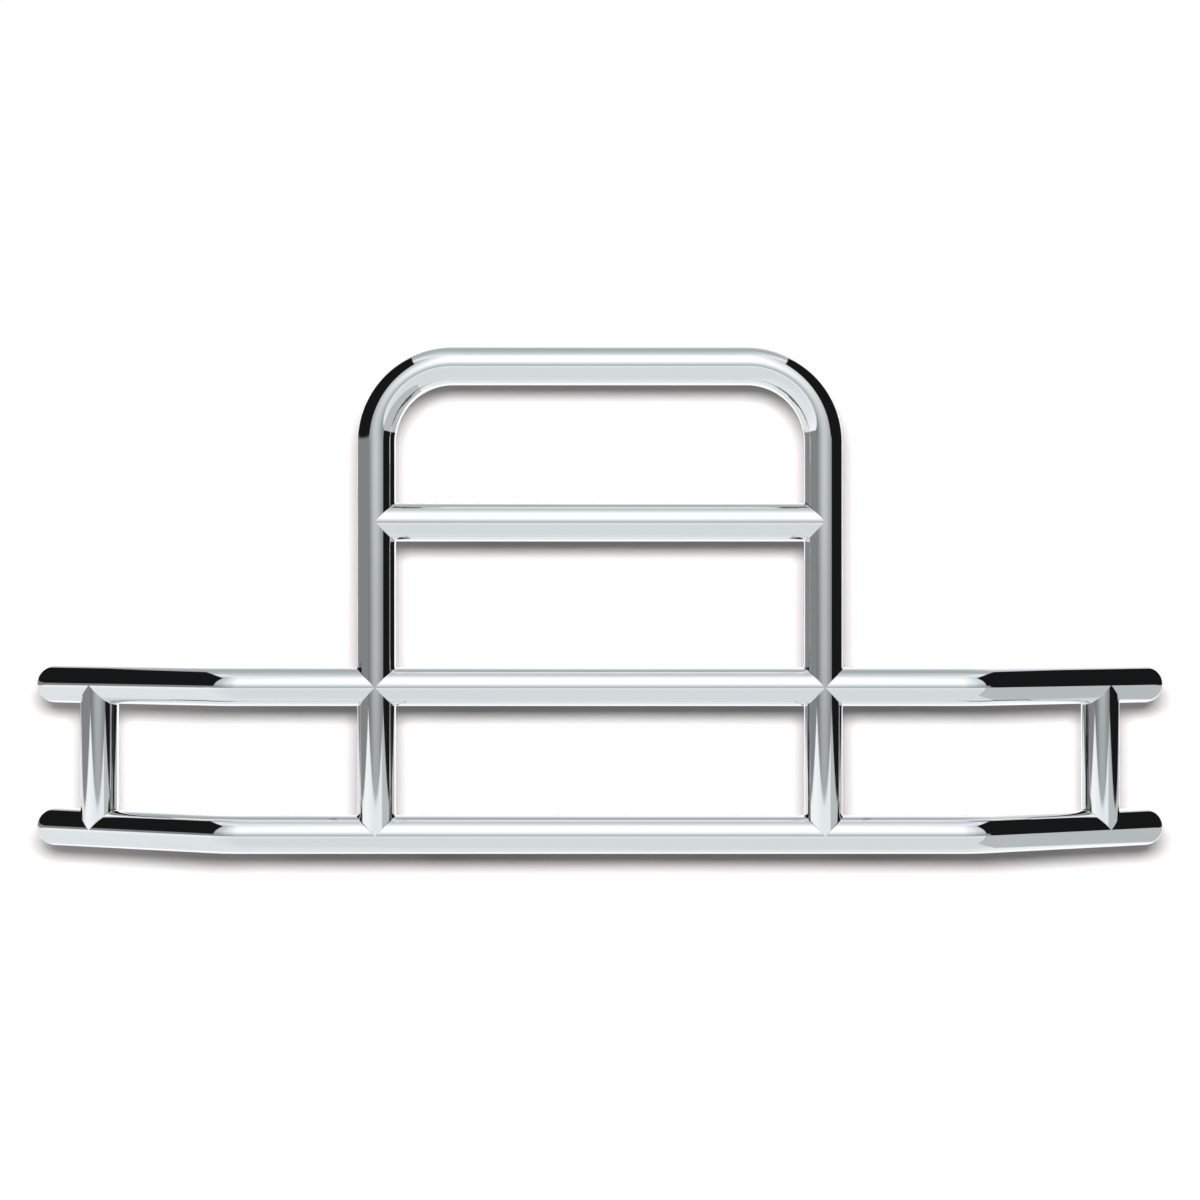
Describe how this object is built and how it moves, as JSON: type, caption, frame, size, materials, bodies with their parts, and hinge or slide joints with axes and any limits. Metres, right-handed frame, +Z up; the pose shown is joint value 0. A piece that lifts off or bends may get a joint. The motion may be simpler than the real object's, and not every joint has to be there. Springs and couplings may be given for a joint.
{
  "type": "front grille guard",
  "caption": "Fold-down tubular grille guard for a heavy truck: polished hoop, cross bars and swept-back wings on hinge plates that straddle frame-bolted mount arms.",
  "frame": {"origin": "bottom centre of the whole guard, on its plane of symmetry", "axes": "+X across the truck toward the guard's right side as seen from in front of it, +Y rearward toward the truck, +Z up"},
  "size_m": [2.319, 0.3602, 1.0167],
  "materials": {
    "black_handle": "black oxide steel",
    "black_powder_coat": "satin black powder coat, fine texture",
    "bronze": "oiled sintered bronze",
    "brushed_stainless_plate": "brushed stainless steel",
    "hardened_steel": "ground hardened steel",
    "polished_stainless": "mirror polished stainless steel tube",
    "rubber": "matte black rubber",
    "zinc_hardware": "bright zinc plated steel"
  },
  "bodies": {
    "mount_arms": {"left_arm_rib": "black_powder_coat", "left_bumper_pad": "rubber", "left_bumper_screws": "zinc_hardware", "left_frame_spacer": "black_powder_coat", "left_lock_sleeve": "hardened_steel", "left_mount_arm": "black_powder_coat", "left_pivot_bushings": "bronze", "right_arm_rib": "black_powder_coat", "right_bumper_pad": "rubber", "right_bumper_screws": "zinc_hardware", "right_frame_spacer": "black_powder_coat", "right_lock_sleeve": "hardened_steel", "right_mount_arm": "black_powder_coat", "right_pivot_bushings": "bronze"},
    "guard": {"crossbar_tube": "polished_stainless", "end_post_left": "polished_stainless", "end_post_right": "polished_stainless", "hoop_tube": "polished_stainless", "left_barrel_cap": "zinc_hardware", "left_inner_hinge_plate": "brushed_stainless_plate", "left_lock_spring": "hardened_steel", "left_outer_hinge_plate": "brushed_stainless_plate", "left_pin_barrel": "brushed_stainless_plate", "left_pivot_bolt": "zinc_hardware", "left_pivot_nut": "zinc_hardware", "left_pivot_washers": "zinc_hardware", "left_stop_pin": "zinc_hardware", "lower_bar": "polished_stainless", "lower_bar_left_end_cap": "polished_stainless", "lower_bar_right_end_cap": "polished_stainless", "mid_bar_center": "polished_stainless", "mid_bar_left_end_cap": "polished_stainless", "mid_bar_left_wing": "polished_stainless", "mid_bar_right_end_cap": "polished_stainless", "mid_bar_right_wing": "polished_stainless", "right_barrel_cap": "zinc_hardware", "right_inner_hinge_plate": "brushed_stainless_plate", "right_lock_spring": "hardened_steel", "right_outer_hinge_plate": "brushed_stainless_plate", "right_pin_barrel": "brushed_stainless_plate", "right_pivot_bolt": "zinc_hardware", "right_pivot_nut": "zinc_hardware", "right_pivot_washers": "zinc_hardware", "right_stop_pin": "zinc_hardware"},
    "left_lock_pin": {"left_lock_pin": "hardened_steel", "left_pull_handle": "black_handle", "left_handle_roll_pin": "hardened_steel"},
    "right_lock_pin": {"right_lock_pin": "hardened_steel", "right_pull_handle": "black_handle", "right_handle_roll_pin": "hardened_steel"}
  },
  "joints": [
    {"name": "guard_fold", "type": "hinge", "parent": "mount_arms", "child": "guard", "pos_m": [0, -0.04695, 0.046], "axis": [1, 0, 0], "range_deg": [0, 90]},
    {"name": "left_lock_pull", "type": "slide", "parent": "guard", "child": "left_lock_pin", "axis": [-1, 0, 0], "range_m": [0, 0.028], "stiffness_N_per_m": 1800, "springref_m": -0.012, "deforming": ["left_lock_spring"]},
    {"name": "right_lock_pull", "type": "slide", "parent": "guard", "child": "right_lock_pin", "axis": [1, 0, 0], "range_m": [0, 0.028], "stiffness_N_per_m": 1800, "springref_m": -0.012, "deforming": ["right_lock_spring"]}
  ]
}
